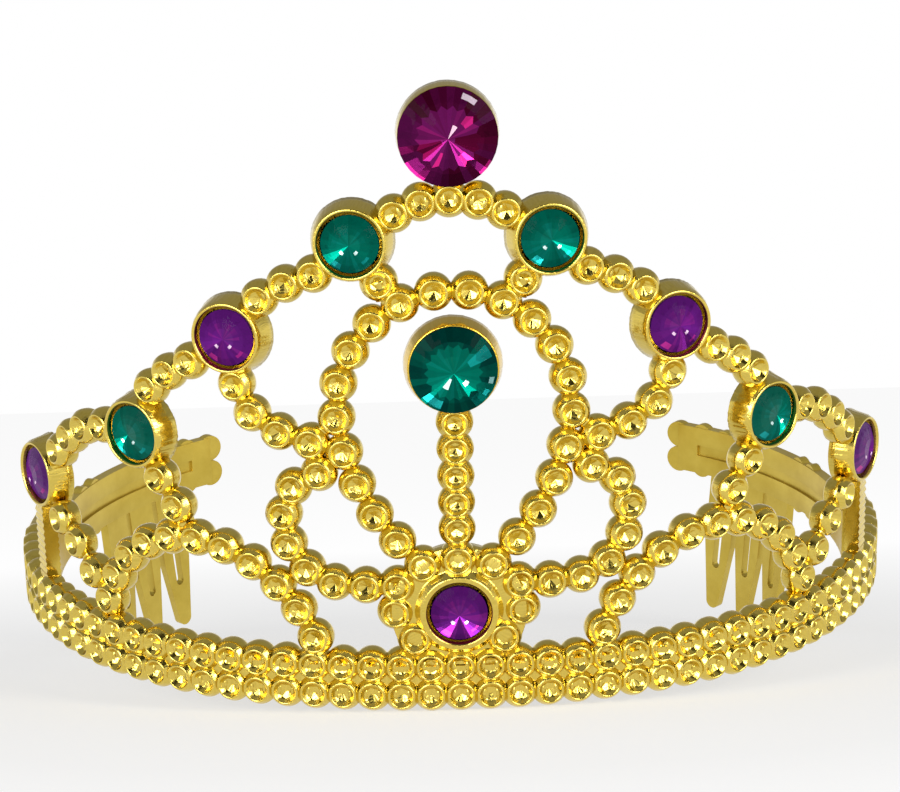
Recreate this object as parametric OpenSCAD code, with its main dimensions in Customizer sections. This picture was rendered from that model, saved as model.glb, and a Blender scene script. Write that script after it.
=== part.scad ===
// Costume crown: a moulded tiara of beaded chains with eleven cut stones and two side combs.
// The wall is drawn flat, as length along the bead faces and height over the band, and then
// bent round the head. The finished piece leans forward onto its band and its comb teeth.

/* [Headband] */
// Radius of the bead faces across the front
front_radius = 110; // [100:1:130]
// Radius of the bead faces round the sides
side_radius = 65; // [62:1:70]
// Half the length of the front arc
front_half = 30; // [26:1:34]
// Thickness of the wall from front to back
wall_depth = 3.8; // [3.4:0.1:4.4]

/* [Beads] */
// Radius of a bead at its back
bead_back_r = 2.85; // [2.8:0.01:2.9]
// Radius of a bead at its front rim
bead_front_r = 2.15; // [1.9:0.05:2.3]
// Radius of the hollow in a bead's front
bead_cup_r = 1.75; // [1.4:0.05:1.85]
// Depth of the hollow in a bead's front
bead_cup_depth = 1.1; // [0.6:0.1:1.6]
// Radius of a stem bead at its back
stem_back_r = 2.4; // [2.3:0.05:2.6]
// Radius of a stem bead at its front rim
stem_front_r = 2; // [1.9:0.05:2.1]

/* [Band] */
// Beads on each side of the middle bead
band_beads = 24; // [22:1:24]
// Spacing of the beads along the band
band_pitch = 4.7; // [4.6:0.05:4.8]
// Height of the lower row of beads
low_row = 2.35; // [2.3:0.05:2.4]
// Distance between the two rows
row_gap = 4.75; // [4.6:0.05:4.9]
// Length of the plain block at each end of the band
end_block = 6; // [5:0.5:8]

/* [Settings and stones] */
// Radius of a small setting at its back
small_cup_back_r = 6.45; // [6.3:0.05:6.6]
// Radius of a small setting at its rim
small_cup_rim_r = 5.5; // [5.3:0.05:5.7]
// Radius of a small stone
small_stone_r = 4.4; // [4.2:0.05:4.5]
// Radius of the top stone
top_stone_r = 7.4; // [7.2:0.1:7.6]
// Height of the top stone's centre
top_stone_z = 91; // [90.5:0.1:91.2]
// Radius of the centre stone
centre_stone_r = 6.7; // [6.5:0.1:6.8]
// Height of the centre stone's centre
centre_stone_z = 55.6; // [55.2:0.1:56]
// Height of the base stone's centre
base_stone_z = 16.2; // [16:0.1:16.4]
// Facets round each stone
stone_sides = 16; // [8:2:20]
// Gap round and under each stone
stone_gap = 0.15; // [0.1:0.05:0.3]
// Degrees that the end settings are turned to the front of the wall there
end_ease = 6; // [0:1:8]

/* [Combs] */
// Thickness of a comb
comb_t = 2; // [1.6:0.1:2.4]
// Height of a comb's plate
comb_h = 9.6; // [9:0.1:10]
// Height of the plate's lower edge
comb_low = 0.2; // [0:0.1:0.5]
// Gap between a comb and the back of the band
comb_gap = 0.15; // [0.1:0.05:0.3]
// Where a comb starts along the wall
comb_start = 108; // [106:1:110]
// Where a comb ends along the wall
comb_end = 175; // [173:0.5:176]
// Teeth on each comb
teeth = 3; // [2:1:3]
// Spacing of the teeth
tooth_pitch = 8.4; // [8.2:0.1:8.6]
// Width of a tooth
tooth_w = 6.5; // [6.2:0.1:6.7]
// Length of a tooth below the plate
tooth_len = 28.5; // [27:0.5:30]

/* [Hidden] */
stone_names = ["stone_1", "stone_2", "stone_3", "stone_4"];
gold = [0.85, 0.69, 0.2];
dull_gold = [0.68, 0.6, 0.26];
magenta = [0.5, 0.03, 0.4];
green = [0, 0.42, 0.34];
purple = [0.35, 0.1, 0.5];
// Places are [length along the wall, height], with a third number for a turn to the front
small_settings = [[15, 75, 0], [35, 60, 0], [53.4, 42.6, 0], [82.6, 29.2, end_ease]];
small_colours = [green, purple, green, purple];
top_row_z = low_row + row_gap;
// Each chain: beads, first bead, two handles of the curve, last bead
chains = [
  [3, [21, 70.1], [24, 69.2], [27, 68], [29.7, 66.1]],
  [3, [42.2, 55.4], [45, 54.2], [48, 52.5], [50.2, 50.3]],
  [4, [61.5, 42.2], [66, 42], [71, 39], [75.4, 35]],
  [6, [2.7, 67.3], [10, 66.2], [18.8, 59], [18.3, 47.7]],
  [4, [17.3, 42.2], [15.8, 36.8], [13, 31.5], [9.4, 27.8]],
  [4, [34.3, 52.4], [32.5, 46], [28, 45], [22.5, 43.7]],
  [7, [21.4, 38.7], [30.5, 37.5], [30.3, 19.3], [14.6, 20.4]],
  [11, [62.7, 12.4], [55.5, 31.2], [31.9, 31.2], [23.1, 11.5]],
  [2, [49.3, 35.6], [48, 34], [47, 32.5], [46.2, 31.3]],
  [3, [76.2, 22.9], [73, 21.8], [69.5, 19.3], [66.8, 16]],
];
crest = [5, [-8.4, 79.3], [-4, 82.2], [4, 82.2], [8.4, 79.3]];
stem = [5, [0, 46.9], [0, 42], [0, 36], [0, 29.7]];
ring = [[5.5, 23.9], [9.6, 20.6], [10, 16.2], [7, 11.8]];
ring_top = [0, 24.8];
drop_bead = [11.3, 69.4];
// Low links that join chains: from, to
links = [
  [[18.3, 47.7], [17.3, 42.2]],
  [[24.2, 22.6], [29, 19.4]],
  [[46.2, 31.3], [44.8, 26.3]],
  [[66.8, 16], [62.7, 12.4]],
];
link_w = 1.8;
link_t = 2.2;
strip_back = 3.5;
strip_t = 1.6;
strip_step = band_pitch + 0.3;
post_s = 86.4;
post_w = 4.2;
band_end = band_beads * band_pitch + 2;
comb_face = wall_depth + comb_gap;
comb_mid = comb_low + comb_h / 2;
tooth_lean = 6;
far_tooth = 162.8;
tooth_tip_r = 1.5;
tooth_slot = [1.7, 9];
groove = [2.2, 0.7];
lobe_r = 2.6;
edge_lobe_r = 2.3;
// Where the plate's edges have small lobes: on both edges, and on the top edge alone
edge_lobes = [133.5, 138.5, 169];
top_lobes = [157.5, 163];
// Flat pieces lie this far inside the curved plate's faces
plate_inset = 0.15;
flat_t = comb_t - 2 * plate_inset;
front_turn = front_half / front_radius * 180 / PI;
// The near tooth tips and the lower rim of the middle bead touch the same level surface
near_tooth = far_tooth - (teeth - 1) * tooth_pitch;
tip_run = (tooth_len - tooth_tip_r) * sin(tooth_lean);
tip_y = wall_point(near_tooth, -comb_face - comb_t / 2).y + tip_run * sin(wall_turn(near_tooth));
tip_z = comb_low - (tooth_len - tooth_tip_r) * cos(tooth_lean) - tooth_tip_r - 0.15;
rim_low = [0.3, low_row - bead_front_r];
rest_tilt = atan2(rim_low.y - tip_z, tip_y - rim_low.x);
rest_drop = rim_low.x * sin(rest_tilt) + rim_low.y * cos(rest_tilt);
// Moves the origin to the middle of the footprint
rest_back = -42.4;

// Direction of the wall at a length along it, in degrees
function wall_turn(s) = abs(s) <= front_half ? s / front_radius * 180 / PI
  : sign(s) * (front_turn + (abs(s) - front_half) / side_radius * 180 / PI);

// Place in plan at a length along the wall and a distance out from the bead faces
function wall_point(s, out = 0) =
  let (turn = abs(wall_turn(s)), flat = abs(s) <= front_half, side = s < 0 ? -1 : 1)
  let (x = flat ? front_radius * sin(turn)
         : front_radius * sin(front_turn) + side_radius * (sin(turn) - sin(front_turn)))
  let (y = flat ? front_radius * (1 - cos(turn))
         : front_radius * (1 - cos(front_turn)) + side_radius * (cos(front_turn) - cos(turn)))
  [side * (x + out * sin(turn)), y - out * cos(turn)];

// Point of a cubic curve with an end, two handles and an end
function curve_point(c, t) =
  pow(1 - t, 3) * c[0] + 3 * t * pow(1 - t, 2) * c[1] + 3 * t * t * (1 - t) * c[2] + pow(t, 3) * c[3];

// Beads of a chain at equal steps along its curve
function chain_places(chain, steps = 40) =
  let (c = [for (i = [1:4]) chain[i]])
  let (pts = [for (i = [0:steps]) curve_point(c, i / steps)])
  let (run = [for (i = 0, d = 0; i <= steps; d = d + norm(pts[min(i + 1, steps)] - pts[i]), i = i + 1) d])
  let (along = [for (i = [0:steps]) [run[i], i / steps]])
  [for (k = [0:chain[0] - 1]) curve_point(c, lookup(run[steps] * k / (chain[0] - 1), along))];

// Children are drawn flat: x along the wall, y up, z outward from the bead faces
module on_wall(s, z = 0, ease = 0) {
  p = wall_point(s);
  translate([p.x, p.y, z]) rotate([0, 0, wall_turn(s) - sign(s) * ease]) rotate([90, 0, 0]) children();
}

module at_rest() {
  translate([0, rest_back, -rest_drop]) rotate([rest_tilt, 0, 0]) children();
}

module both_sides() {
  children();
  mirror([1, 0, 0]) children();
}

// Ring of rectangular section that follows the side arc, between two lengths and two depths
module side_strip(s_from, s_to, low, high, depth_from, depth_to) {
  c = [front_radius - side_radius, 0];
  centre = [c.x * sin(front_turn), front_radius - c.x * cos(front_turn)];
  turn = wall_turn(s_to) - wall_turn(s_from);
  translate([centre.x, centre.y, low]) rotate([0, 0, wall_turn(s_from) - 90])
    rotate_extrude(angle = turn, $fn = 160)
      translate([side_radius - depth_to, 0]) square([depth_to - depth_from, high - low]);
}

// Frustum with a rounded rim and a hollow front; the seam is turned away from its neighbours
module bead(back_r = bead_back_r, front_r = bead_front_r, seam = 45) {
  rotate([0, 0, seam]) rotate_extrude($fn = 32)
    polygon([[0, -wall_depth], [back_r, -wall_depth], [front_r, -0.3], [front_r - 0.25, 0],
             [bead_cup_r, 0], [0.4, -bead_cup_depth], [0, -bead_cup_depth]]);
}

// Flat bar at the back of the wall between two places
module link(from, to) {
  way = to - from;
  middle = (from + to) / 2;
  on_wall(middle.x, middle.y) rotate([0, 0, atan2(way.y, way.x)])
    translate([-norm(way) / 2, -link_w / 2, 0.2 - wall_depth]) cube([norm(way), link_w, link_t]);
}

module chain(row, back_r = bead_back_r, front_r = bead_front_r, seam = 45) {
  for (p = chain_places(row)) on_wall(p.x, p.y) bead(back_r, front_r, seam);
}

// Two rows of beads on a low backing strip made of short bars from bead to bead
module band() {
  for (i = [-band_beads:band_beads], z = [low_row, top_row_z]) on_wall(i * band_pitch, z) bead();
  for (i = [-band_beads - 1:band_beads])
    on_wall((i + 0.5) * band_pitch, low_row) translate([-strip_step / 2, 0, -strip_back])
      cube([strip_step, row_gap, strip_t]);
  both_sides() side_strip(band_end - 1, band_end + end_block, 0, top_row_z + 2.4, 0.4, wall_depth);
}

// Tapered cup with a rim, open at the front
module small_setting() {
  floor_z = -1.5;
  rotate_extrude($fn = 64)
    polygon([[0, -wall_depth], [small_cup_back_r, -wall_depth], [small_cup_rim_r + 0.15, 0],
             [small_cup_rim_r - 0.1, 0.4], [small_stone_r + 0.55, 0.4], [small_stone_r + stone_gap, -0.6],
             [small_stone_r + stone_gap, floor_z], [0, floor_z]]);
}

// Tapered cup whose stone covers its rim; the hollow is wider than the stone's back all the way up
module large_setting(stone_r, back_r) {
  rotate_extrude($fn = 80)
    polygon([[0, -wall_depth], [back_r, -wall_depth], [stone_r + 0.1, 0], [stone_r - 0.2, 0],
             [stone_r - 1.6, -2.2], [0, -2.2]]);
}

// Round plate with a raised ring for the base stone
module base_setting() {
  rotate_extrude($fn = 80)
    polygon([[0, -3.6], [10.6, -3.6], [10.6, -2.4], [6.7, -2.4], [6.6, -0.1], [6.3, 0.2],
             [5.1, 0.2], [small_stone_r + stone_gap, -0.6], [small_stone_r + stone_gap, -1.5], [0, -1.5]]);
}

// Plain post that carries the end setting on the band
module end_post() {
  on_wall(post_s, top_row_z) translate([-post_w / 2, 0, 0.2 - wall_depth])
    cube([post_w, 17.5, wall_depth - 0.9]);
}

module frame() {
  color(gold) at_rest() {
    band();
    both_sides() {
      for (row = chains) chain(row);
      for (p = ring) on_wall(p.x, p.y) bead();
      for (l = links) link(l[0], l[1]);
      for (p = small_settings) on_wall(p.x, p.y, p.z) small_setting();
      on_wall(drop_bead.x, drop_bead.y) bead();
      end_post();
    }
    on_wall(ring_top.x, ring_top.y) bead();
    chain(crest);
    chain(stem, stem_back_r, stem_front_r, 0);
    on_wall(0, top_stone_z) large_setting(top_stone_r, top_stone_r + 0.3);
    on_wall(0, centre_stone_z) large_setting(centre_stone_r, centre_stone_r + 0.9);
    on_wall(0, base_stone_z) base_setting();
  }
}

// Brilliant cut with a flat table: rings of points from the culet up to the table
module cut_stone(r, crown, girdle, pavilion) {
  n = stone_sides;
  // Each ring: radius, height, share of a facet that it is turned
  rings = [[0.25 * r, -pavilion, 0], [r, 0, 0], [r, girdle, 0],
           [0.72 * r, girdle + 0.62 * crown, 0.5], [0.4 * r, girdle + crown, 0]];
  pts = [for (g = rings, i = [0:n - 1])
         let (a = (i + g[2]) * 360 / n) [g[0] * cos(a), g[0] * sin(a), g[1]]];
  sides = [for (k = [0:len(rings) - 2], i = [0:n - 1])
           let (a = k * n + i, b = k * n + (i + 1) % n, steps = rings[k + 1][2] - rings[k][2])
           each (steps == 0 ? [[a, a + n, b + n, b]]
                 : steps > 0 ? [[a, a + n, b], [a + n, b + n, b]] : [[a, a + n, b + n], [a, b + n, b]])];
  caps = [[for (i = [0:n - 1]) i], [for (i = [n - 1:-1:0]) (len(rings) - 1) * n + i]];
  polyhedron(pts, concat(sides, caps), convexity = 4);
}

module small_stone() {
  translate([0, 0, -1.5 + stone_gap]) cylinder(h = 0.6, r = 0.3 * small_stone_r, $fn = 12);
  translate([0, 0, -0.7]) cut_stone(small_stone_r, 1.3, 0.4, 0.65);
}

// A pointed stone stands on its culet, with its girdle just over the rim
module large_stone(r) {
  translate([0, 0, stone_gap]) cut_stone(r, 0.33 * r, 0.5, 2.2);
}

module top_stone() {
  color(magenta) at_rest() on_wall(0, top_stone_z) large_stone(top_stone_r);
}

module centre_stone() {
  color(green) at_rest() on_wall(0, centre_stone_z) large_stone(centre_stone_r);
}

module base_stone() {
  color(purple) at_rest() on_wall(0, base_stone_z) small_stone();
}

module side_stone(k, side) {
  p = small_settings[k];
  color(small_colours[k]) at_rest() on_wall(side * p.x, p.y, p.z) small_stone();
}

// One tooth, drawn flat with its root at the origin and its tip below
module tooth() {
  half = tooth_w / 2;
  slot_top = -0.34 * tooth_len;
  difference() {
    union() {
      linear_extrude(flat_t)
        polygon([[-half, 3], [half, 3], [half, -0.5 * tooth_len], [tooth_tip_r, tooth_tip_r - tooth_len],
                 [-tooth_tip_r, tooth_tip_r - tooth_len], [-half, -0.5 * tooth_len]]);
      translate([0, tooth_tip_r - tooth_len]) cylinder(h = flat_t, r = tooth_tip_r, $fn = 24);
    }
    translate([-tooth_slot.x / 2, slot_top - tooth_slot.y, -1])
      cube([tooth_slot.x, tooth_slot.y, comb_t + 2]);
    translate([0, slot_top - tooth_slot.y, -1]) cylinder(h = comb_t + 2, d = tooth_slot.x, $fn = 24);
  }
}

module lobe(s, z, r) {
  on_wall(s, z) translate([0, 0, plate_inset - comb_face - comb_t]) cylinder(h = flat_t, r = r, $fn = 40);
}

// Right-hand comb: a curved plate with lobed ends, a groove inside and leaning teeth
module comb() {
  difference() {
    union() {
      side_strip(comb_start, comb_end, comb_low, comb_low + comb_h, comb_face, comb_face + comb_t);
      for (side = [-1, 1]) {
        lobe(comb_end, comb_mid + side * (comb_h / 2 - 2.2), lobe_r);
        for (s = edge_lobes) lobe(s, comb_mid + side * (comb_h / 2 - 1.6), edge_lobe_r);
      }
      for (s = top_lobes) lobe(s, comb_mid + comb_h / 2 - 1.9, edge_lobe_r);
      for (k = [0:teeth - 1])
        on_wall(far_tooth - k * tooth_pitch, comb_low) rotate([0, 0, tooth_lean])
          translate([0, 0, plate_inset - comb_face - comb_t]) tooth();
    }
    side_strip(comb_start + 14, comb_end - 5, comb_mid - groove.x / 2, comb_mid + groove.x / 2,
               comb_face + comb_t - groove.y, comb_face + comb_t + 1);
  }
}

module comb_right() {
  color(dull_gold) at_rest() comb();
}

module comb_left() {
  color(dull_gold) at_rest() mirror([1, 0, 0]) comb();
}

frame();
comb_left();
comb_right();
top_stone();
centre_stone();
base_stone();
for (k = [0:3]) side_stone(k, -1);
for (k = [0:3]) side_stone(k, 1);
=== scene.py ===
"""Costume crown: a moulded tiara of cup-shaped beads, with cut stones and two side combs.

The wall is laid out flat, as length along the bead faces and height from the band's lower
edge, in millimetres, then bent round the head and leaned forward onto its band and comb teeth.
"""
import math
import random

import bmesh
import bpy
from mathutils import Matrix, Vector


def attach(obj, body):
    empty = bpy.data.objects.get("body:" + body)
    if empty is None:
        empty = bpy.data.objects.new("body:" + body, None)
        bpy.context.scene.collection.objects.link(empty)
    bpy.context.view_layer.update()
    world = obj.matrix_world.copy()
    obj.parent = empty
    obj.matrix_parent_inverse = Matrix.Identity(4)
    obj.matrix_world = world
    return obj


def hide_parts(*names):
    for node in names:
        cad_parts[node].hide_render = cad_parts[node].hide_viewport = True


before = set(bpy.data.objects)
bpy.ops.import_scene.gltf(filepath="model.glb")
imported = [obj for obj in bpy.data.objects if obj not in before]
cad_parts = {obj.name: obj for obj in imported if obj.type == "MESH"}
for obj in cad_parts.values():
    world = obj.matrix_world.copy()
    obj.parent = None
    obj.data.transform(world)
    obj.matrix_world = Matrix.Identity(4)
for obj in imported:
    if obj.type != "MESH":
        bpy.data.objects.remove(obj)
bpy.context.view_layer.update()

MM = 0.001
IMAGE = (900, 792)
SIDES = ((-1, "left"), (1, "right"))
random.seed(11)

# Points of a piece that are nearer than this become one, in metres
MERGE = 1e-7
# Radius of the small disc that closes a turned shape in the middle
TIP_R = 0.02

# Wall in plan: a front arc and two side arcs, and its depth behind the bead faces
FRONT_R = 110.0
SIDE_R = 65.0
FRONT_HALF = 30.0
FRONT_TURN = FRONT_HALF / FRONT_R
WALL_DEPTH = 3.8

# How the crown leans at rest, and where the middle of its band's lower front edge then is
REST_TILT = math.radians(16.385)
REST_PLACE = (0, -42.4, -0.2765)

# Beads: radius where the body is widest, at the front rim and in the hollow
BEAD = (2.95, 2.15, 1.74)
STEM_BEAD = (2.9, 2.0, 1.6)
BEAD_BACK_R = 2.55
BEAD_SIDES = 36

# Hollow of a bead: height where it starts, slopes of its wall and of the facets at its bottom
CUP_Z = -0.17
CUP_WALL_SLOPE = 1.3
CUP_FACET_SLOPE = 0.58
CUP_FACETS = 6
# Shares of the hollow's radius: where its facets start, and how far their tip is off the middle
CUP_FACETS_AT = 0.74
CUP_TIP_OFF = 0.12

# Necks between beads: half width and half depth at the waist, half length, middle's depth in the wall
NECK_HALF_W = 1.2
NECK_HALF_D = 1.22
NECK_REACH = 1.5
NECK_DEPTH = 2.2
# How much wider a neck is at its ends, the share of its half length where it is widest, and its mesh
NECK_FLARE = 0.28
NECK_WIDEST = 0.98
NECK_TIP_R = 0.05
NECK_HALF_RINGS = 3
NECK_SIDES = 20

# Low bars at the back of the wall: width, distance from the back, and thickness
LINK_WIDTH = 1.8
LINK_BACK = 0.15
LINK_THICK = 2.3

# Band: beads on each side of the middle one, distance between them, heights of the two rows
BAND_BEADS = 24
BAND_PITCH = 4.7
LOW_ROW = 2.35
TOP_ROW = 7.1
# Where the end blocks start, 2 mm past the middle of the last bead
BAND_END = BAND_BEADS * BAND_PITCH + 2

# Strip behind the band's beads: front and back, how far it runs into the blocks, and its mesh
STRIP_FRONT = -0.95
STRIP_BACK = -3.5
STRIP_LAP = 0.5
STRIP_STEPS = 160

# End blocks: length, how far they reach over the last bead, front and back, height over the top row
BLOCK_LENGTH = 6.0
BLOCK_LAP = 1
BLOCK_FRONT = -0.4
BLOCK_BACK = -3.8
BLOCK_OVER = 2.4
BLOCK_STEPS = 12
# Bevels of a block at its front and back
FRONT_BEVEL = 0.3
BACK_BEVEL = 0.2

# Each chain: beads, first bead, two handles of the curve, last bead, as (length, height)
SIDE_CHAINS = {
    "crest_side": (3, (21, 70.1), (24, 69.2), (27, 68), (29.7, 66.1)),
    "crest_slope": (3, (42.2, 55.4), (45, 54.2), (48, 52.5), (50.2, 50.3)),
    "crest_end": (4, (61.5, 42.2), (66, 42), (71, 39), (75.4, 35)),
    "oval_top": (6, (2.7, 67.3), (10, 66.2), (18.8, 59), (18.3, 47.7)),
    "oval_low": (4, (17.3, 42.2), (15.8, 36.8), (13, 31.5), (9.4, 27.8)),
    "scroll_top": (4, (34.3, 52.4), (32.5, 46), (28, 45), (22.5, 43.7)),
    "scroll_low": (7, (21.4, 38.7), (30.5, 37.5), (30.3, 19.3), (14.6, 20.4)),
    "arch": (11, (62.7, 12.4), (55.5, 31.2), (31.9, 31.2), (23.1, 11.5)),
    "wing_short": (2, (49.3, 35.6), (48, 34), (47, 32.5), (46.2, 31.3)),
    "wing_long": (3, (76.2, 22.9), (73, 21.8), (69.5, 19.3), (66.8, 16)),
}
CHAIN_START = {name: chain[1] for name, chain in SIDE_CHAINS.items()}
CHAIN_END = {name: chain[-1] for name, chain in SIDE_CHAINS.items()}
CREST = (5, (-8.4, 79.3), (-4, 82.2), (4, 82.2), (8.4, 79.3))
STEM = (5, (0, 46.9), (0, 42), (0, 36), (0, 29.7))
# Pieces that a chain's curve is cut into, to find its length
CURVE_STEPS = 200
# Ring of beads under the stem: those on the right, and the one on top
RING = ((5.5, 23.9), (9.6, 20.6), (10, 16.2), (7, 11.8))
RING_TOP = (0, 24.8)
# Single bead on the oval, on each side
DROP_BEAD = (11.0, 68.9)
# Necks where chains meet each other or the band: from, to
JOINTS = (
    (RING_TOP, RING[0]),
    (CHAIN_END["oval_low"], RING[0]),
    (CHAIN_END["scroll_low"], RING[1]),
    (CHAIN_END["scroll_top"], CHAIN_START["oval_low"]),
    (CHAIN_END["scroll_top"], CHAIN_END["oval_top"]),
    (CHAIN_START["scroll_low"], CHAIN_END["scroll_top"]),
    (CHAIN_END["arch"], (5 * BAND_PITCH, TOP_ROW)),
    ((11.3, 69.4), (10, 66)),
)
# Low bars where chains meet: from, to
LINKS = (
    (CHAIN_END["oval_top"], CHAIN_START["oval_low"]),
    ((24.2, 22.6), (29, 19.4)),
    (CHAIN_END["wing_short"], (44.8, 26.3)),
    (CHAIN_END["wing_long"], CHAIN_START["arch"]),
)

# The end settings face a little more to the front than the wall does there
END_EASE = math.radians(6)
# Small settings on each side: length and height on the wall, turn to the front, depth of the ribs
SMALL_SETTINGS = (
    (15, 75, 0, 0.03),
    (35, 60, 0, 0.03),
    (53.4, 42.6, 0, 0.08),
    (82.6, 29.2, END_EASE, 0.08),
)
SMALL_BACK_R = 6.45
SMALL_RIM_R = 5.5
SMALL_SIDES = 120
# Small stones, and how much wider than a stone its seat is
SMALL_STONE_R = 4.4
SEAT_GAP = 0.12
BASE_STONE_Z = 16.2
BASE_SIDES = 96

# Large stones: radius and height
TOP_STONE = (7.4, 91.0)
CENTRE_STONE = (6.7, 55.6)
# Their settings: how much wider than the stone they are at the back and at the lip
TOP_FLARE = 0.3
TOP_LIP = -0.05
CENTRE_FLARE = 0.9
CENTRE_LIP = 0.2
LARGE_RIB = 0.03
LARGE_SIDES = 112

# Post under each end setting: middle, width, height over the top row, front and back
POST_S = 86.4
POST_W = 4.2
POST_TALL = 17.5
POST_FRONT = -0.9
POST_BACK = -3.6
# Level ribs on the posts: how deep they are, and half-ribs over the height
POST_RIB = 0.22
POST_STEPS = 30

# Cut of a stone: facets round it, height of the girdle's lower edge and the girdle's width, depth
# of the back, and reach of the star on the side lines and middle lines of the facets. Foil: slope
# in degrees inside and outside the star, and how far it varies. Shades, from 0 for the darkest to
# 1 for the palest: mean and spread inside the star, and outside it in the lower and upper half;
# a small stone's upper half is darker as painted shade
LARGE_CUT = {
    "facets": 18,
    "girdle": 0.15,
    "edge": 0.45,
    "pavilion": 2.2,
    "star": (0.66, 0.58),
    "foil_inside": 25,
    "foil_outside": 42,
    "foil_vary": 9,
    "shade_inside": (0.52, 0.06),
    "shade_below": (0.36, 0.14),
    "shade_above": (0.36, 0.14),
}
SMALL_CUT = {
    "facets": 16,
    "girdle": -0.75,
    "edge": 0.4,
    "pavilion": 0.5,
    "star": (0.6, 0.6),
    "foil_inside": 35,
    "foil_outside": 35,
    "foil_vary": 4,
    "shade_inside": (0.56, 0.03),
    "shade_below": (0.56, 0.03),
    # Painted shade: the upper half of a small stone is darker than its lower half
    "shade_above": (0.52, 0.03),
}
# Rise of the crown: for a large stone as a share of its radius, for a small one in millimetres
LARGE_CROWN = 0.26
SMALL_CROWN = 1.2
# Rings of a stone, as shares of its radius: on the crown with their share of its rise, on the
# table, and at the back
CROWN_RINGS = ((0.93, 0.155), (0.82, 0.4), (0.72, 0.62))
TABLE_RINGS = (0.4, 0.3, 0.14)
BACK_RING = 0.3
# Faces of the star lie inside the first share of the radius, and the edge outside the second
STAR_SHARE = 0.62
EDGE_SHARE = 0.97
# Faces this far under the crown belong to the edge, whose lower half is painted light as a glow and upper
# half painted dark as shade
EDGE_SLACK = 0.02
EDGE_PAINTED_GLOW = 0.62
EDGE_PAINTED_SHADE = 0.3
# Shades at which the colours between the darkest and the palest stand
SHADE_STEPS = (0.3, 0.55, 0.8)

# Streaks of a stone, painted glints, painted reflections and dark wedges of painted shade: direction and
# half width in degrees, start and end as shares of the radius, shade
TOP_PAINTED_LIGHT = (
    (60, 14, 0.82, 0.93, 1.0),
    (62, 8, 0.02, 0.3, 0.95),
    (40, 10, 0.4, 0.6, 0.72),
    (-12, 18, 0.1, 0.62, 0.25),
    (-158, 16, 0.15, 0.62, 0.3),
    (172, 9, 0.6, 0.97, 0.5),
    (-50, 6, 0.42, 0.62, 0.8),
    (-112, 6, 0.3, 0.62, 0.72),
    (-138, 14, 0.93, 1.0, 0.66),
    (-40, 14, 0.93, 1.0, 0.66),
)
CENTRE_PAINTED_LIGHT = (
    (-123, 9, 0.14, 0.4, 1.0),
    (-40, 8, 0.3, 0.4, 1.0),
    (32, 9, 0.35, 0.93, 0.7),
    (-125, 11, 0.72, 0.93, 0.8),
    (-38, 6, 0.82, 0.93, 0.8),
    (-15, 6, 0.82, 0.93, 0.88),
    (90, 40, 0.72, 1.0, 0.2),
)
SMALL_PAINTED_LIGHT = (
    (-136, 8, 0.3, 0.4, 1.0),
    (-44, 8, 0.3, 0.4, 1.0),
    (-128, 12, 0.72, 0.93, 0.8),
    (-45, 10, 0.72, 0.82, 0.72),
)

# Combs: round of the edges, angle from which an edge is sharp, angle up to which two faces are one
COMB_ROUND = 0.3
COMB_SHARP = math.radians(40)
COMB_FLAT = math.radians(0.6)
COMB_MERGE = 1e-6

# Marks in the gold: changes per millimetre round a piece and from front to back, depth in metres
MARK_STRETCH = (2.6, 0.25, 1)
MARK_DEPTH = 0.00014
# Levels of the noise at which a metal has its darker and its lighter tone
TONE_STEPS = (0.3, 0.75)

# Floor, in metres: the level that the widest part of the lowest beads touches, radius, corners
FLOOR_Z = -0.0004
FLOOR_R = 6
FLOOR_SIDES = 96
# Its glow starts and stops growing at these distances from the middle, between these strengths
GLOW = {"From Min": 0.1, "From Max": 0.32, "To Min": 0.58, "To Max": 0.8}

# Softboxes: name, place, size, power, and the point that both face
SOFTBOXES = (
    ("left_box", (-0.33, -0.56, 0.16), (0.34, 0.28), 2.8),
    ("right_box", (0.42, -0.5, 0.2), (0.3, 0.3), 2.6),
)
LIGHT_AIM = (0, -0.04, 0.05)
# Sine of the height above the horizon, and how bright the studio is there
STUDIO = ((0.0, 1.0), (0.16, 1.0), (0.34, 0.48), (0.55, 0.33), (1.0, 0.34))
# Dark patch of the room: direction, 28 degrees up in front, cosines at its rim, and brightness
DARK_END = (0, -0.883, 0.469)
DARK_RIM = {"From Min": 0.9, "From Max": 0.95}
DARK_LEVEL = 0.04
# A Mix node's colour sockets share their names with its number sockets, so they go by number
MIX_FIRST = 6
MIX_SECOND = 7
MIX_RESULT = 2

# Camera, as seen from the band: turn, dip and roll in degrees, distance, and focal length in pixels
CAMERA_YAW = 0.97
CAMERA_DIP = 16.74
CAMERA_ROLL = -1.45
CAMERA_RANGE = 368.66
FOCAL_PX = 2364.0
SENSOR_WIDTH = 36.0
# Pixel where the middle bead of the band's top row shows, and the picture's centre
AIM_PX = (460.8, 668.3)
CENTRE_PX = (IMAGE[0] / 2, IMAGE[1] / 2)


def wall_turn(s):
    """Direction of the wall at a length along it, in radians."""
    if abs(s) <= FRONT_HALF:
        return s / FRONT_R
    return math.copysign(FRONT_TURN + (abs(s) - FRONT_HALF) / SIDE_R, s)


def wall_point(s):
    """Place in plan at a length along the bead faces."""
    turn = abs(wall_turn(s))
    if abs(s) <= FRONT_HALF:
        x = FRONT_R * math.sin(turn)
        y = FRONT_R * (1 - math.cos(turn))
    else:
        x = FRONT_R * math.sin(FRONT_TURN) + SIDE_R * (math.sin(turn) - math.sin(FRONT_TURN))
        y = FRONT_R * (1 - math.cos(FRONT_TURN)) + SIDE_R * (math.cos(FRONT_TURN) - math.cos(turn))
    return math.copysign(x, s), y


AT_REST = Matrix.Scale(MM, 4) @ Matrix.Translation(REST_PLACE) @ Matrix.Rotation(REST_TILT, 4, "X")


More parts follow.
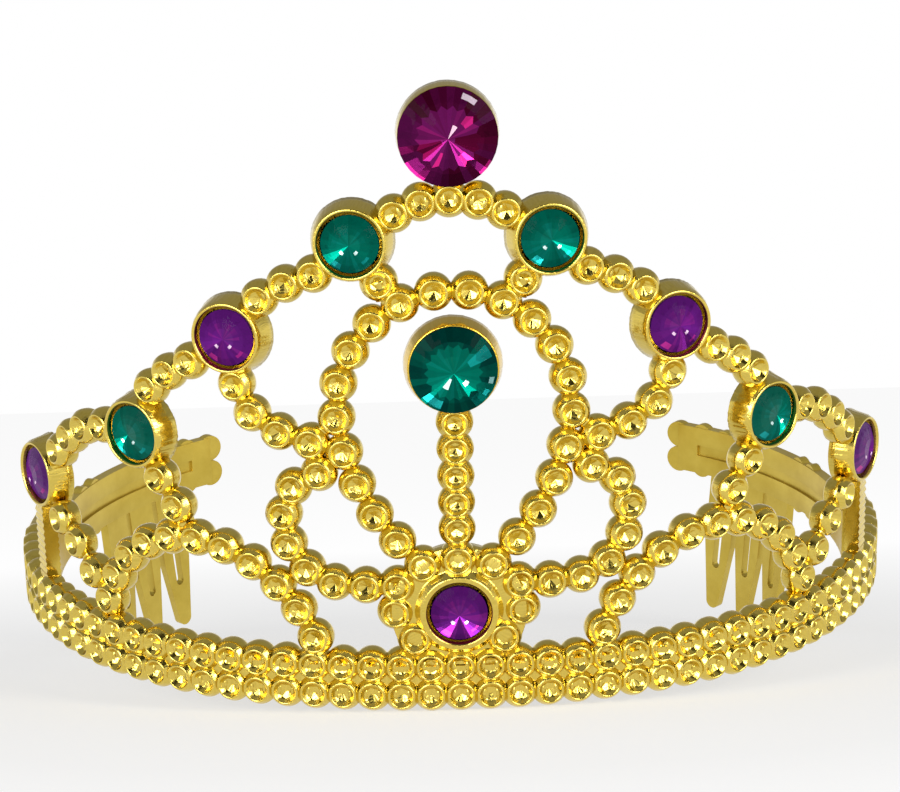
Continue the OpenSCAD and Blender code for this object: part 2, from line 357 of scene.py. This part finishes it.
def on_wall(s, z, ease=0.0):
    """Matrix from a flat drawing (x along the wall, y up, z outward) to the model's frame.

    The ease turns the drawing from the wall's direction to the front.
    """
    x, y = wall_point(s)
    turn = wall_turn(s) - math.copysign(ease, s)
    return (
        AT_REST
        @ Matrix.Translation((x, y, z))
        @ Matrix.Rotation(turn, 4, "Z")
        @ Matrix.Rotation(math.pi / 2, 4, "X")
    )


def along_wall(a, b):
    """Matrix for a shape that runs from one place of the wall to another, with its middle between."""
    turn = math.atan2(b[1] - a[1], b[0] - a[0])
    return on_wall((a[0] + b[0]) / 2, (a[1] + b[1]) / 2) @ Matrix.Rotation(turn, 4, "Z")


def mirrored(places, side):
    """The same places on one side of the wall: 1 for the right, -1 for the left."""
    return [(side * s, z) for s, z in places]


def curve_point(curve, t):
    """Point on a curve with two ends and two handles."""
    u = 1 - t
    weights = (u**3, 3 * t * u * u, 3 * t * t * u, t**3)
    return tuple(sum(weights[k] * curve[k][axis] for k in range(4)) for axis in (0, 1))


def chain_places(chain):
    """Beads of a chain at equal steps along its curve."""
    count, curve = chain[0], chain[1:]
    points = [curve_point(curve, i / CURVE_STEPS) for i in range(CURVE_STEPS + 1)]
    run = [0.0]
    for a, b in zip(points, points[1:]):
        run.append(run[-1] + math.dist(a, b))
    places = []
    for k in range(count):
        goal = run[-1] * k / (count - 1)
        nearest = min(range(len(run)), key=lambda j: abs(run[j] - goal))
        places.append(points[nearest])
    return places


def round_point(radius, i, sides, z):
    """Point of a ring, on one of its side lines."""
    a = 2 * math.pi * i / sides
    return (radius * math.cos(a), radius * math.sin(a), z)


def ring_quads(rings, n):
    """Faces that join each ring of n points to the next."""
    faces = []
    for k in range(rings - 1):
        for i in range(n):
            j = (i + 1) % n
            faces.append((k * n + i, k * n + j, (k + 1) * n + j, (k + 1) * n + i))
    return faces


def front_uvs(verts, faces):
    """Texture coordinates as seen straight from the front."""
    return [tuple((verts[i][0], verts[i][1]) for i in face) for face in faces]


class Builder:
    """Collects shapes into one mesh, with texture coordinates for the marks in the metal."""

    def __init__(self):
        self.verts = []
        self.faces = []
        self.smooth = []
        self.uvs = []

    def add(self, matrix, verts, faces, smooth, uvs):
        """Adds a shape: its points, and for each face its corners, smoothness and texture coordinates."""
        base = len(self.verts)
        self.verts += [matrix @ Vector(v) for v in verts]
        self.faces += [[base + i for i in face] for face in faces]
        self.smooth += smooth
        self.uvs += uvs

    def lathe(self, matrix, profile, sides, ribs=None, open_front=False):
        """Turned shape; ribs gives how far each side line stands out where a ring's third value is 1."""
        verts = []
        for ring in profile:
            for i in range(sides):
                out = ring[0] + (ribs[i] if ribs and len(ring) > 2 else 0)
                verts.append(round_point(out, i, sides, ring[1]))
        faces = ring_quads(len(profile), sides)
        smooth = [True] * len(faces)
        uvs = []
        run = 0.0
        for near, far in zip(profile, profile[1:]):
            step = math.dist(near[:2], far[:2])
            r = max(near[0], far[0])
            for i in range(sides):
                u0 = 2 * math.pi * r * i / sides
                u1 = 2 * math.pi * r * (i + 1) / sides
                uvs.append(((u0, run), (u1, run), (u1, run + step), (u0, run + step)))
            run += step
        ends = [tuple(range(sides - 1, -1, -1))]
        if not open_front:
            last = (len(profile) - 1) * sides
            ends.append(tuple(last + i for i in range(sides)))
        faces += ends
        smooth += [False] * len(ends)
        uvs += [((0, 0),) * sides] * len(ends)
        self.add(matrix, verts, faces, smooth, uvs)

    def hollow(self, matrix, cup_r, turn):
        """Conical hollow that starts on a ring of BEAD_SIDES points and ends in kite-shaped facets."""
        n = BEAD_SIDES
        steps = n // CUP_FACETS
        mid_r = CUP_FACETS_AT * cup_r
        tip_z = CUP_Z - (cup_r - mid_r) * CUP_WALL_SLOPE - mid_r * CUP_FACET_SLOPE
        # Where a facet's side edge, which is less steep than its middle, meets the wall of the hollow
        edge_slope = math.cos(math.pi / CUP_FACETS) * CUP_FACET_SLOPE
        edge_r = (CUP_Z - cup_r * CUP_WALL_SLOPE - tip_z) / (edge_slope - CUP_WALL_SLOPE)
        radii = [cup_r] * n + [(cup_r + mid_r) / 2] * n
        for i in range(n):
            from_mid = abs((i % steps) - steps / 2) / (steps / 2)
            radii.append(mid_r + (edge_r - mid_r) * from_mid)
        verts = []
        for i, r in enumerate(radii):
            verts.append(round_point(r, i % n, n, CUP_Z - (cup_r - r) * CUP_WALL_SLOPE))
        tip_off = CUP_TIP_OFF * cup_r
        verts.append((tip_off * math.cos(turn), tip_off * math.sin(turn), tip_z))
        faces = ring_quads(3, n)
        smooth = [True] * len(faces) + [False] * CUP_FACETS
        for f in range(CUP_FACETS):
            border = [2 * n + (f * steps + q) % n for q in range(steps + 1)]
            faces.append((*border, 3 * n))
        self.add(matrix, verts, faces, smooth, front_uvs(verts, faces))

    def gem(self, matrix, r, crown, cut):
        """Cut stone; its table's faces meet in the middle, and a zigzag ring edges the star round it."""
        n = 2 * cut["facets"]
        base = cut["girdle"] + cut["edge"]
        top = base + crown
        foot, foot_rise = CROWN_RINGS[-1]
        # A facet's middle line is nearer the stone's middle than its side lines, so that it is flat
        on_plane = math.cos(math.pi / cut["facets"])
        # Each ring: share of the radius on the side lines and on the middle lines, and height
        rings = [(BACK_RING, BACK_RING, cut["girdle"] - cut["pavilion"])]
        rings += [(1, 1, cut["girdle"]), (1, 1, base)]
        rings += [(share, share, base + rise * crown) for share, rise in CROWN_RINGS]
        rings.append((*cut["star"], None))
        rings += [(share, share, top) for share in TABLE_RINGS]
        verts = []
        for side_share, middle_share, height in rings:
            for i in range(n):
                share = middle_share if i % 2 else side_share
                z = height
                if height is None:
                    rise = foot_rise + (1 - foot_rise) * (foot - share) / (foot - TABLE_RINGS[0])
                    z = base + crown * rise
                pull = on_plane if i % 2 and share <= foot else 1
                verts.append(round_point(r * share * pull, i, n, z))
        faces = ring_quads(len(rings), n)
        inner = len(verts) - n
        tip = len(verts)
        verts.append((0, 0, top))
        faces += [(inner + i, inner + (i + 1) % n, tip) for i in range(n)]
        faces.append(tuple(range(n - 1, -1, -1)))
        self.add(matrix, verts, faces, [False] * len(faces), front_uvs(verts, faces))

    def sweep(self, stations, section):
        """Closed section (offset out, height) carried along (length, lift) stations of the wall.

        The section's second half runs back beside its first, so that its ends close with quads.
        """
        n = len(section)
        verts, faces, uvs = [], [], []
        for s, lift in stations:
            matrix = on_wall(s, lift)
            verts += [matrix @ Vector((0, up, out)) for out, up in section]
        for k in range(len(stations) - 1):
            s0, s1 = stations[k][0], stations[k + 1][0]
            for i in range(n):
                j = (i + 1) % n
                faces.append((k * n + i, (k + 1) * n + i, (k + 1) * n + j, k * n + j))
                uvs.append(((s0, i), (s1, i), (s1, i + 1), (s0, i + 1)))
        last = (len(stations) - 1) * n
        for k in range(n // 2 - 1):
            strip = (k, k + 1, n - 2 - k, n - 1 - k)
            faces += [strip, tuple(last + i for i in reversed(strip))]
            uvs += [((0, 0),) * 4] * 2
        self.add(Matrix.Identity(4), verts, faces, [False] * len(faces), uvs)

    def sweep_sides(self, lengths, lift, section):
        """The same swept shape on the right and on the left."""
        for side in (1, -1):
            stations = [(side * s, lift) for s in lengths]
            self.sweep(stations if side > 0 else stations[::-1], section)

    def piece(self, name, material, slot, *nodes):
        """The finished mesh as a piece of the model, in place of the named nodes."""
        mesh = bpy.data.meshes.new(name)
        mesh.from_pydata([tuple(v) for v in self.verts], [], self.faces)
        layer = mesh.uv_layers.new(name="surface")
        corners = [uv for face in self.uvs for uv in face]
        for loop, uv in zip(layer.data, corners):
            loop.uv = uv
        mesh.polygons.foreach_set("use_smooth", self.smooth)
        mesh.materials.append(material)
        joined = bmesh.new()
        joined.from_mesh(mesh)
        bmesh.ops.remove_doubles(joined, verts=joined.verts, dist=MERGE)
        joined.to_mesh(mesh)
        joined.free()
        mesh.update()
        obj = bpy.data.objects.new(name, mesh)
        bpy.context.collection.objects.link(obj)
        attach(obj, "root")
        if nodes:
            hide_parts(*nodes)
        return obj


def node_of(tree, kind, **inputs):
    """New shader node with some of its values set."""
    node = tree.nodes.new(kind)
    for key, value in inputs.items():
        node.inputs[key].default_value = value
    return node


def new_material(name):
    """Material with its node tree and its main shader."""
    mat = bpy.data.materials.new(name)
    mat.use_nodes = True
    tree = mat.node_tree
    return mat, tree, tree.nodes["Principled BSDF"]


def two_tones(tree, dark, light):
    """Colour ramp from a metal's darker tone to its lighter one."""
    tint = tree.nodes.new("ShaderNodeValToRGB")
    first, last = tint.color_ramp.elements
    first.position, last.position = TONE_STEPS
    first.color = (*dark, 1)
    last.color = (*light, 1)
    return tint


def gold_material(name, dark, light):
    """Metallised plastic: bright yellow gold with fine marks that run from front to back."""
    mat, tree, shader = new_material(name)
    shader.inputs["Metallic"].default_value = 1.0
    shader.inputs["Roughness"].default_value = 0.11
    shader.inputs["Coat Weight"].default_value = 0.25
    shader.inputs["Coat Roughness"].default_value = 0.05
    uv = tree.nodes.new("ShaderNodeUVMap")
    uv.uv_map = "surface"
    stretch = node_of(tree, "ShaderNodeMapping", Scale=MARK_STRETCH)
    marks = node_of(tree, "ShaderNodeTexNoise", Scale=1.0, Detail=3.0, Roughness=0.6)
    bump = node_of(tree, "ShaderNodeBump", Strength=0.5, Distance=MARK_DEPTH)
    tint = two_tones(tree, dark, light)
    link = tree.links.new
    link(uv.outputs["UV"], stretch.inputs["Vector"])
    link(stretch.outputs["Vector"], marks.inputs["Vector"])
    link(marks.outputs["Fac"], bump.inputs["Height"])
    link(marks.outputs["Fac"], tint.inputs["Fac"])
    link(tint.outputs["Color"], shader.inputs["Base Color"])
    link(bump.outputs["Normal"], shader.inputs["Normal"])
    return mat


def comb_gold_painted_shade_material():
    """Rougher gold of the combs, its colour painted darker as shade, with soft clouds of tone."""
    mat, tree, shader = new_material("dull_gold")
    shader.inputs["Metallic"].default_value = 0.8
    shader.inputs["Roughness"].default_value = 0.3
    coords = tree.nodes.new("ShaderNodeTexCoord")
    clouds = node_of(tree, "ShaderNodeTexNoise", Scale=140.0, Detail=4.0, Roughness=0.6)
    # Darker tones than the rest of the gold: painted shade
    tint = two_tones(tree, (0.56, 0.4, 0.05), (0.7, 0.53, 0.09))
    link = tree.links.new
    link(coords.outputs["Object"], clouds.inputs["Vector"])
    link(clouds.outputs["Fac"], tint.inputs["Fac"])
    link(tint.outputs["Color"], shader.inputs["Base Color"])
    return mat


def stone_material(name, shades):
    """Foil-backed acrylic: the base mirrors as the foil slopes, the coat as the cut face does."""
    mat, tree, shader = new_material(name)
    shader.inputs["Metallic"].default_value = 0.55
    shader.inputs["Roughness"].default_value = 0.14
    shader.inputs["Specular IOR Level"].default_value = 0.0
    shader.inputs["Coat Weight"].default_value = 0.02
    shader.inputs["Coat Roughness"].default_value = 0.02
    facets = tree.nodes.new("ShaderNodeAttribute")
    facets.attribute_name = "facet"
    foil = tree.nodes.new("ShaderNodeAttribute")
    foil.attribute_name = "foil"
    tint = tree.nodes.new("ShaderNodeValToRGB")
    ramp = tint.color_ramp.elements
    ramp[0].color = (*shades[0], 1)
    ramp[1].color = (*shades[-1], 1)
    for at, colour in zip(SHADE_STEPS, shades[1:-1]):
        ramp.new(at).color = (*colour, 1)
    link = tree.links.new
    link(facets.outputs["Fac"], tint.inputs["Fac"])
    link(tint.outputs["Color"], shader.inputs["Base Color"])
    link(foil.outputs["Vector"], shader.inputs["Normal"])
    return mat


GOLD = gold_material("metallised_gold", (0.66, 0.49, 0.08), (0.78, 0.6, 0.12))
# A warmer copy of the gold for the centre setting: its orange is painted reflection of the beads round it
GOLD_WITH_PAINTED_REFLECTION = gold_material("gold_with_painted_reflection", (0.74, 0.48, 0.045), (0.83, 0.58, 0.075))
COMB_GOLD_PAINTED_SHADE = comb_gold_painted_shade_material()
# Colours of each stone from its darkest shade to its palest; the palest colour the painted glints
STONES = {
    "magenta": stone_material("magenta_stone", (
        (0.015, 0.0, 0.005),
        (0.065, 0.001, 0.018),
        (0.115, 0.006, 0.08),
        (0.75, 0.02, 0.24),
        (1.0, 0.8, 0.95),
    )),
    "green": stone_material("green_stone", (
        (0.0, 0.02, 0.016),
        (0.0, 0.06, 0.048),
        (0.0, 0.135, 0.09),
        (0.01, 0.4, 0.38),
        (0.75, 1.0, 0.97),
    )),
    "purple": stone_material("purple_stone", (
        (0.02, 0.002, 0.035),
        (0.06, 0.005, 0.11),
        (0.125, 0.011, 0.2),
        (0.6, 0.035, 0.35),
        (1.0, 0.7, 0.95),
    )),
}


def add_bead(build, s, z, size=BEAD):
    """A barrel-shaped bead with a round rim and a faceted hollow."""
    body_r, rim_r, cup_r = size
    profile = [
        (TIP_R, -WALL_DEPTH), (BEAD_BACK_R - 0.2, -WALL_DEPTH), (BEAD_BACK_R, -WALL_DEPTH + 0.2),
        (body_r - 0.1, -2.9), (body_r - 0.02, -2.3), (body_r, -1.85), (body_r - 0.05, -1.4),
        (body_r - 0.17, -1.0), (rim_r + 0.42, -0.68), (rim_r + 0.22, -0.4), (rim_r + 0.08, -0.2),
        (rim_r, -0.1), (rim_r - 0.08, -0.03), (rim_r - 0.17, 0.0), (rim_r - 0.27, -0.02),
        (rim_r - 0.35, -0.08), (cup_r, CUP_Z),
    ]
    matrix = on_wall(s, z) @ Matrix.Rotation(random.uniform(0, 2 * math.pi), 4, "Z")
    build.lathe(matrix, profile, BEAD_SIDES, open_front=True)
    build.hollow(matrix, cup_r, random.uniform(0, 2 * math.pi))


def add_neck(build, a, b):
    """Saddle-shaped neck between two neighbouring beads."""
    matrix = (
        along_wall(a, b)
        @ Matrix.Translation((0, 0, -NECK_DEPTH))
        @ Matrix.Rotation(math.pi / 2, 4, "Y")
        @ Matrix.Diagonal((NECK_HALF_D, NECK_HALF_W, 1, 1))
    )
    profile = [(NECK_TIP_R, -NECK_REACH)]
    for k in range(-NECK_HALF_RINGS, NECK_HALF_RINGS + 1):
        t = k / NECK_HALF_RINGS
        profile.append((1 + NECK_FLARE * t * t, NECK_REACH * t * NECK_WIDEST))
    profile.append((NECK_TIP_R, NECK_REACH))
    build.lathe(matrix, profile, NECK_SIDES)


def add_chain(build, places, size=BEAD):
    """Beads with a neck between each and the next."""
    for s, z in places:
        add_bead(build, s, z, size)
    for a, b in zip(places, places[1:]):
        add_neck(build, a, b)


def add_link(build, a, b):
    """Low bar at the back of the wall between two places."""
    x, y = math.dist(a, b) / 2, LINK_WIDTH / 2
    back = LINK_BACK - WALL_DEPTH
    corners = ((-1, -1), (1, -1), (1, 1), (-1, 1))
    verts = [(sx * x, sy * y, z) for z in (back, back + LINK_THICK) for sx, sy in corners]
    faces = [(3, 2, 1, 0), (4, 5, 6, 7), (0, 1, 5, 4), (1, 2, 6, 5), (2, 3, 7, 6), (3, 0, 4, 7)]
    build.add(along_wall(a, b), verts, faces, [False] * len(faces), front_uvs(verts, faces))


def make_band():
    """Two rows of beads on a strip, with a block at each end."""
    for name, height in (("band_low_row", LOW_ROW), ("band_top_row", TOP_ROW)):
        build = Builder()
        add_chain(build, [(i * BAND_PITCH, height) for i in range(-BAND_BEADS, BAND_BEADS + 1)])
        build.piece(name, GOLD, "gold", "frame")
    build = Builder()
    down = LOW_ROW - TOP_ROW
    strip = [(STRIP_BACK, down), (STRIP_FRONT, down), (STRIP_FRONT, 0), (STRIP_BACK, 0)]
    half = BAND_END + STRIP_LAP
    build.sweep([(half * (2 * i / STRIP_STEPS - 1), TOP_ROW) for i in range(STRIP_STEPS + 1)], strip)
    top = TOP_ROW + BLOCK_OVER
    block = [
        (BLOCK_BACK, BACK_BEVEL), (BLOCK_BACK + BACK_BEVEL, 0),
        (BLOCK_FRONT - FRONT_BEVEL, 0), (BLOCK_FRONT, FRONT_BEVEL),
        (BLOCK_FRONT, top - FRONT_BEVEL), (BLOCK_FRONT - FRONT_BEVEL, top),
        (BLOCK_BACK + BACK_BEVEL, top), (BLOCK_BACK, top - BACK_BEVEL),
    ]
    start, length = BAND_END - BLOCK_LAP, BLOCK_LENGTH + BLOCK_LAP
    build.sweep_sides([start + length * i / BLOCK_STEPS for i in range(BLOCK_STEPS + 1)], 0, block)
    build.piece("band_strip", GOLD, "gold", "frame")


def make_chains():
    """Bead chains over the band, and what joins them."""
    for name, chain in SIDE_CHAINS.items():
        build = Builder()
        for side in (1, -1):
            add_chain(build, mirrored(chain_places(chain), side))
        build.piece(name, GOLD, "gold", "frame")
    build = Builder()
    add_chain(build, chain_places(CREST))
    for side in (1, -1):
        add_chain(build, mirrored([DROP_BEAD], side))
    build.piece("crest", GOLD, "gold", "frame")
    build = Builder()
    add_chain(build, chain_places(STEM), STEM_BEAD)
    build.piece("stem", GOLD, "gold", "frame")
    build = Builder()
    for side in (1, -1):
        add_chain(build, mirrored(RING, side))
    add_bead(build, *RING_TOP)
    build.piece("bead_ring", GOLD, "gold", "frame")
    build = Builder()
    for side in (1, -1):
        for ends in LINKS:
            add_link(build, *mirrored(ends, side))
        for ends in JOINTS:
            add_neck(build, *mirrored(ends, side))
    add_neck(build, STEM[-1], RING_TOP)
    build.piece("links", GOLD, "gold", "frame")


def rib_heights(sides, depth):
    """Fine uneven ribs round a setting's side."""
    return [depth * random.uniform(-1, 1) for _ in range(sides)]


def make_small_setting(name, matrix, rib):
    """Cup for a small stone, with its rim a little in front of the beads."""
    build = Builder()
    rim, seat = SMALL_RIM_R, SMALL_STONE_R + SEAT_GAP
    profile = [
        (TIP_R, -WALL_DEPTH), (SMALL_BACK_R - 0.15, -WALL_DEPTH), (SMALL_BACK_R, -WALL_DEPTH + 0.15, 1),
        (SMALL_BACK_R - 0.3, -2.6, 1), (rim + 0.3, -0.5, 1), (rim + 0.12, -0.08), (rim + 0.02, 0.12),
        (rim - 0.02, 0.26), (rim - 0.14, 0.38), (rim - 0.32, 0.4), (rim - 0.48, 0.3), (rim - 0.56, 0.08),
        (seat + 0.26, -0.6), (seat + 0.14, -1.35), (TIP_R, -1.45),
    ]
    build.lathe(matrix, profile, SMALL_SIDES, ribs=rib_heights(SMALL_SIDES, rib))
    build.piece(name, GOLD, "gold", "frame")


def make_large_setting(name, stone, flare, lip, metal):
    """Cup for a large stone, which stands over its lip."""
    build = Builder()
    stone_r, z = stone
    back_r = stone_r + flare
    profile = [
        (TIP_R, -WALL_DEPTH), (back_r - 0.15, -WALL_DEPTH), (back_r, -WALL_DEPTH + 0.15, 1),
        (back_r - 0.1, -2.4, 1), (stone_r + lip + 0.07, -0.3), (stone_r + lip, -0.05),
        (stone_r + lip - 0.13, 0.05), (stone_r - 0.2, 0.0), (stone_r - 1.5, -2.1), (TIP_R, -2.2),
    ]
    build.lathe(on_wall(0, z), profile, LARGE_SIDES, ribs=rib_heights(LARGE_SIDES, LARGE_RIB))
    build.piece(name, metal, "gold", "frame")


def make_base_setting():
    """Cup for the base stone, on a round plate."""
    build = Builder()
    seat = SMALL_STONE_R + SEAT_GAP
    profile = [
        (TIP_R, -3.6), (10.5, -3.6), (10.6, -3.5), (10.6, -1.3), (10.45, -1.12), (7.15, -1.1), (6.95, -1.06),
        (6.8, -0.94), (6.1, -0.12), (5.98, 0.02), (5.85, 0.08), (5.35, 0.12), (5.2, 0.08), (5.1, -0.1),
        (seat + 0.3, -0.7), (seat + 0.1, -1.3), (TIP_R, -1.35),
    ]
    build.lathe(on_wall(0, BASE_STONE_Z), profile, BASE_SIDES)
    build.piece("base_setting", GOLD, "gold", "frame")


def make_posts():
    """Post under each end setting, with level ribs at its front and back."""
    front, back = [], []
    for k in range(POST_STEPS + 1):
        height = POST_TALL * k / POST_STEPS
        dent = POST_RIB if k % 2 else 0
        front.append((POST_FRONT - dent, height))
        back.append((POST_BACK + dent, height))
    half = POST_W / 2
    build = Builder()
    build.sweep_sides([POST_S + half * t for t in (-1, -0.5, 0, 0.5, 1)], TOP_ROW, front + back[::-1])
    build.piece("end_posts", GOLD, "gold", "frame")


def make_settings():
    """Cups for all the stones, and the posts under the end ones."""
    for side, word in SIDES:
        for k, (s, z, ease, rib) in enumerate(SMALL_SETTINGS, 1):
            make_small_setting(f"{word}_setting_{k}", on_wall(side * s, z, ease), rib)
    make_large_setting("top_setting", TOP_STONE, TOP_FLARE, TOP_LIP, GOLD)
    make_large_setting("centre_setting", CENTRE_STONE, CENTRE_FLARE, CENTRE_LIP, GOLD_WITH_PAINTED_REFLECTION)
    make_base_setting()
    make_posts()


def face_shade(cut, mid, rho, angle, lift, painted_light):
    """Shade of a stone's face, from its middle, its place round the stone and a chance of its own, with
    painted light and shade on its edge and in its streaks.
    """
    if rho < STAR_SHARE:
        mean, spread = cut["shade_inside"]
    # Outside the star the upper half can be darker than the lower, as painted shade
    elif mid.y < 0:
        mean, spread = cut["shade_below"]
    else:
        mean, spread = cut["shade_above"]
    shade = mean + spread * lift
    # The edge's lower half is painted light as a glow, and its upper half dark as shade
    if rho > EDGE_SHARE or mid.z < cut["girdle"] + cut["edge"] - EDGE_SLACK:
        shade = EDGE_PAINTED_GLOW if mid.y < 0 else EDGE_PAINTED_SHADE
    # Streaks paint glints, reflections and dark wedges of shade over the face's own shade
    for at, half_width, near, far, strength in painted_light:
        gap = abs((angle - at + 180) % 360 - 180)
        if gap < half_width and near < rho < far:
            shade = strength
    return shade


def make_stone(name, matrix, r, crown, cut, slot, painted_light):
    """Cut stone with a foil back: each face has a shade, painted glints and shade among them, and the slope
    of the foil behind it.
    """
    build = Builder()
    build.gem(matrix, r, crown, cut)
    mesh = build.piece(name, STONES[slot], slot, name).data
    shade = mesh.attributes.new("facet", "FLOAT", "FACE")
    foil = mesh.attributes.new("foil", "FLOAT_VECTOR", "FACE")
    back = matrix.inverted()
    turned = matrix.to_3x3().normalized()
    facets, vary = cut["facets"], cut["foil_vary"]
    tilts = [
        (random.uniform(-vary, vary), random.uniform(-vary, vary), random.uniform(-1, 1))
        for _ in range(2 * facets)
    ]
    for poly in mesh.polygons:
        mid = back @ poly.center
        rho = math.hypot(mid.x, mid.y) / r
        angle = math.degrees(math.atan2(mid.y, mid.x))
        lean, swing, lift = tilts[int((angle % 360) * facets / 180) % (2 * facets)]
        shade.data[poly.index].value = face_shade(cut, mid, rho, angle, lift, painted_light)
        steep = math.radians(cut["foil_inside" if rho < STAR_SHARE else "foil_outside"] + lean)
        aside = math.radians(angle + 180 + swing)
        level = math.sin(steep)
        slope = Vector((level * math.cos(aside), level * math.sin(aside), math.cos(steep)))
        foil.data[poly.index].vector = turned @ slope


def make_stones():
    """Two large stones, the base stone, and four on each side."""
    r, z = TOP_STONE
    make_stone("top_stone", on_wall(0, z), r, LARGE_CROWN * r, LARGE_CUT, "magenta", TOP_PAINTED_LIGHT)
    r, z = CENTRE_STONE
    make_stone("centre_stone", on_wall(0, z), r, LARGE_CROWN * r, LARGE_CUT, "green", CENTRE_PAINTED_LIGHT)
    places = [("base_stone", on_wall(0, BASE_STONE_Z), "purple")]
    for side, word in SIDES:
        for k, (s, z, ease, _) in enumerate(SMALL_SETTINGS, 1):
            places.append((f"{word}_stone_{k}", on_wall(side * s, z, ease), "green" if k % 2 else "purple"))
    for name, matrix, slot in places:
        make_stone(name, matrix, SMALL_STONE_R, SMALL_CROWN, SMALL_CUT, slot, SMALL_PAINTED_LIGHT)


def make_combs():
    """The combs' own shapes with their edges rounded."""
    for name in ("comb_left", "comb_right"):
        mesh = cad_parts[name].data.copy()
        mesh.name = name + "_rounded"
        shape = bmesh.new()
        shape.from_mesh(mesh)
        bmesh.ops.remove_doubles(shape, verts=shape.verts, dist=COMB_MERGE)
        bmesh.ops.dissolve_limit(shape, angle_limit=COMB_FLAT, verts=shape.verts, edges=shape.edges)
        sharp = [e for e in shape.edges if len(e.link_faces) == 2 and e.calc_face_angle(0) > COMB_SHARP]
        bmesh.ops.bevel(
            shape,
            geom=sharp,
            offset=COMB_ROUND * MM,
            segments=3,
            profile=0.5,
            affect="EDGES",
            clamp_overlap=True,
        )
        bmesh.ops.remove_doubles(shape, verts=shape.verts, dist=COMB_MERGE)
        shape.to_mesh(mesh)
        shape.free()
        mesh.materials.clear()
        mesh.materials.append(COMB_GOLD_PAINTED_SHADE)
        obj = bpy.data.objects.new(name + "_rounded", mesh)
        bpy.context.collection.objects.link(obj)
        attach(obj, "root")
        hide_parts(name)


def make_floor():
    """Pale table whose glow grows away from the crown, so that it looks evenly white."""
    bpy.ops.mesh.primitive_circle_add(
        vertices=FLOOR_SIDES, radius=FLOOR_R, fill_type="NGON", location=(0, 0, FLOOR_Z),
    )
    floor = bpy.context.object
    floor.name = "floor"
    mat, tree, shader = new_material("pale_floor")
    shader.inputs["Base Color"].default_value = (0.4, 0.4, 0.4, 1)
    shader.inputs["Roughness"].default_value = 0.9
    shader.inputs["Specular IOR Level"].default_value = 0.0
    shader.inputs["Emission Color"].default_value = (1, 1, 1, 1)
    coords = tree.nodes.new("ShaderNodeTexCoord")
    away = tree.nodes.new("ShaderNodeVectorMath")
    away.operation = "LENGTH"
    glow = node_of(tree, "ShaderNodeMapRange", **GLOW)
    tree.links.new(coords.outputs["Object"], away.inputs[0])
    tree.links.new(away.outputs["Value"], glow.inputs["Value"])
    tree.links.new(glow.outputs["Result"], shader.inputs["Emission Strength"])
    floor.data.materials.append(mat)


def make_camera():
    """Camera in front, placed so that the band's middle bead shows at its own pixel."""
    data = bpy.data.cameras.new("camera")
    camera = bpy.data.objects.new("camera", data)
    bpy.context.collection.objects.link(camera)
    data.sensor_fit = "HORIZONTAL"
    data.sensor_width = SENSOR_WIDTH
    data.lens = FOCAL_PX * data.sensor_width / IMAGE[0]
    data.clip_start = 0.01
    data.clip_end = 50.0
    turned = (
        Matrix.Rotation(math.radians(CAMERA_ROLL), 3, "Y")
        @ Matrix.Rotation(math.radians(CAMERA_DIP), 3, "X")
        @ Matrix.Rotation(math.radians(CAMERA_YAW), 3, "Z")
    ).transposed()
    across = (AIM_PX[0] - CENTRE_PX[0]) / FOCAL_PX * CAMERA_RANGE
    up = -(AIM_PX[1] - CENTRE_PX[1]) / FOCAL_PX * CAMERA_RANGE
    eye = turned @ Vector((-across, -CAMERA_RANGE, -up)) + Vector((0, 0, TOP_ROW))
    # A camera looks along its own -Z, with +Y up
    axes = turned @ Matrix(((1, 0, 0), (0, 0, -1), (0, 1, 0)))
    place, facing, _ = (AT_REST @ (Matrix.Translation(eye) @ axes.to_4x4())).decompose()
    camera.matrix_world = Matrix.LocRotScale(place, facing, None)
    bpy.context.scene.camera = camera


def area_light(name, at, size, power):
    """White softbox that lights the crown and is not in the picture itself."""
    data = bpy.data.lights.new(name, "AREA")
    data.shape = "RECTANGLE"
    data.size, data.size_y = size
    data.energy = power
    light = bpy.data.objects.new(name, data)
    bpy.context.collection.objects.link(light)
    light.visible_camera = False
    light.location = at
    light.rotation_euler = (Vector(LIGHT_AIM) - Vector(at)).to_track_quat("-Z", "Y").to_euler()


def grey(level):
    """Opaque grey of a brightness."""
    return (level, level, level, 1)


def make_light():
    """Two softboxes in front, in a pale room that is dimmer above and has a dark patch up in front."""
    for name, at, size, power in SOFTBOXES:
        area_light(name, at, size, power)
    world = bpy.data.worlds.new("studio")
    bpy.context.scene.world = world
    world.use_nodes = True
    tree = world.node_tree
    coords = tree.nodes.new("ShaderNodeTexCoord")
    split = tree.nodes.new("ShaderNodeSeparateXYZ")
    height = tree.nodes.new("ShaderNodeValToRGB")
    ramp = height.color_ramp.elements
    ramp[0].color = grey(STUDIO[0][1])
    ramp[1].color = grey(STUDIO[-1][1])
    for at, level in STUDIO[1:-1]:
        ramp.new(at).color = grey(level)
    toward = tree.nodes.new("ShaderNodeVectorMath")
    toward.operation = "DOT_PRODUCT"
    toward.inputs[1].default_value = DARK_END
    near = node_of(tree, "ShaderNodeMapRange", **DARK_RIM)
    dim = tree.nodes.new("ShaderNodeMix")
    dim.data_type = "RGBA"
    dim.inputs[MIX_SECOND].default_value = grey(DARK_LEVEL)
    link = tree.links.new
    link(coords.outputs["Generated"], split.inputs["Vector"])
    link(coords.outputs["Generated"], toward.inputs[0])
    link(split.outputs["Z"], height.inputs["Fac"])
    link(toward.outputs["Value"], near.inputs["Value"])
    link(near.outputs["Result"], dim.inputs["Factor"])
    link(height.outputs["Color"], dim.inputs[MIX_FIRST])
    link(dim.outputs[MIX_RESULT], tree.nodes["Background"].inputs["Color"])
    bpy.context.scene.view_settings.view_transform = "Standard"


make_camera()
make_band()
make_chains()
make_settings()
make_stones()
make_combs()
make_floor()
make_light()
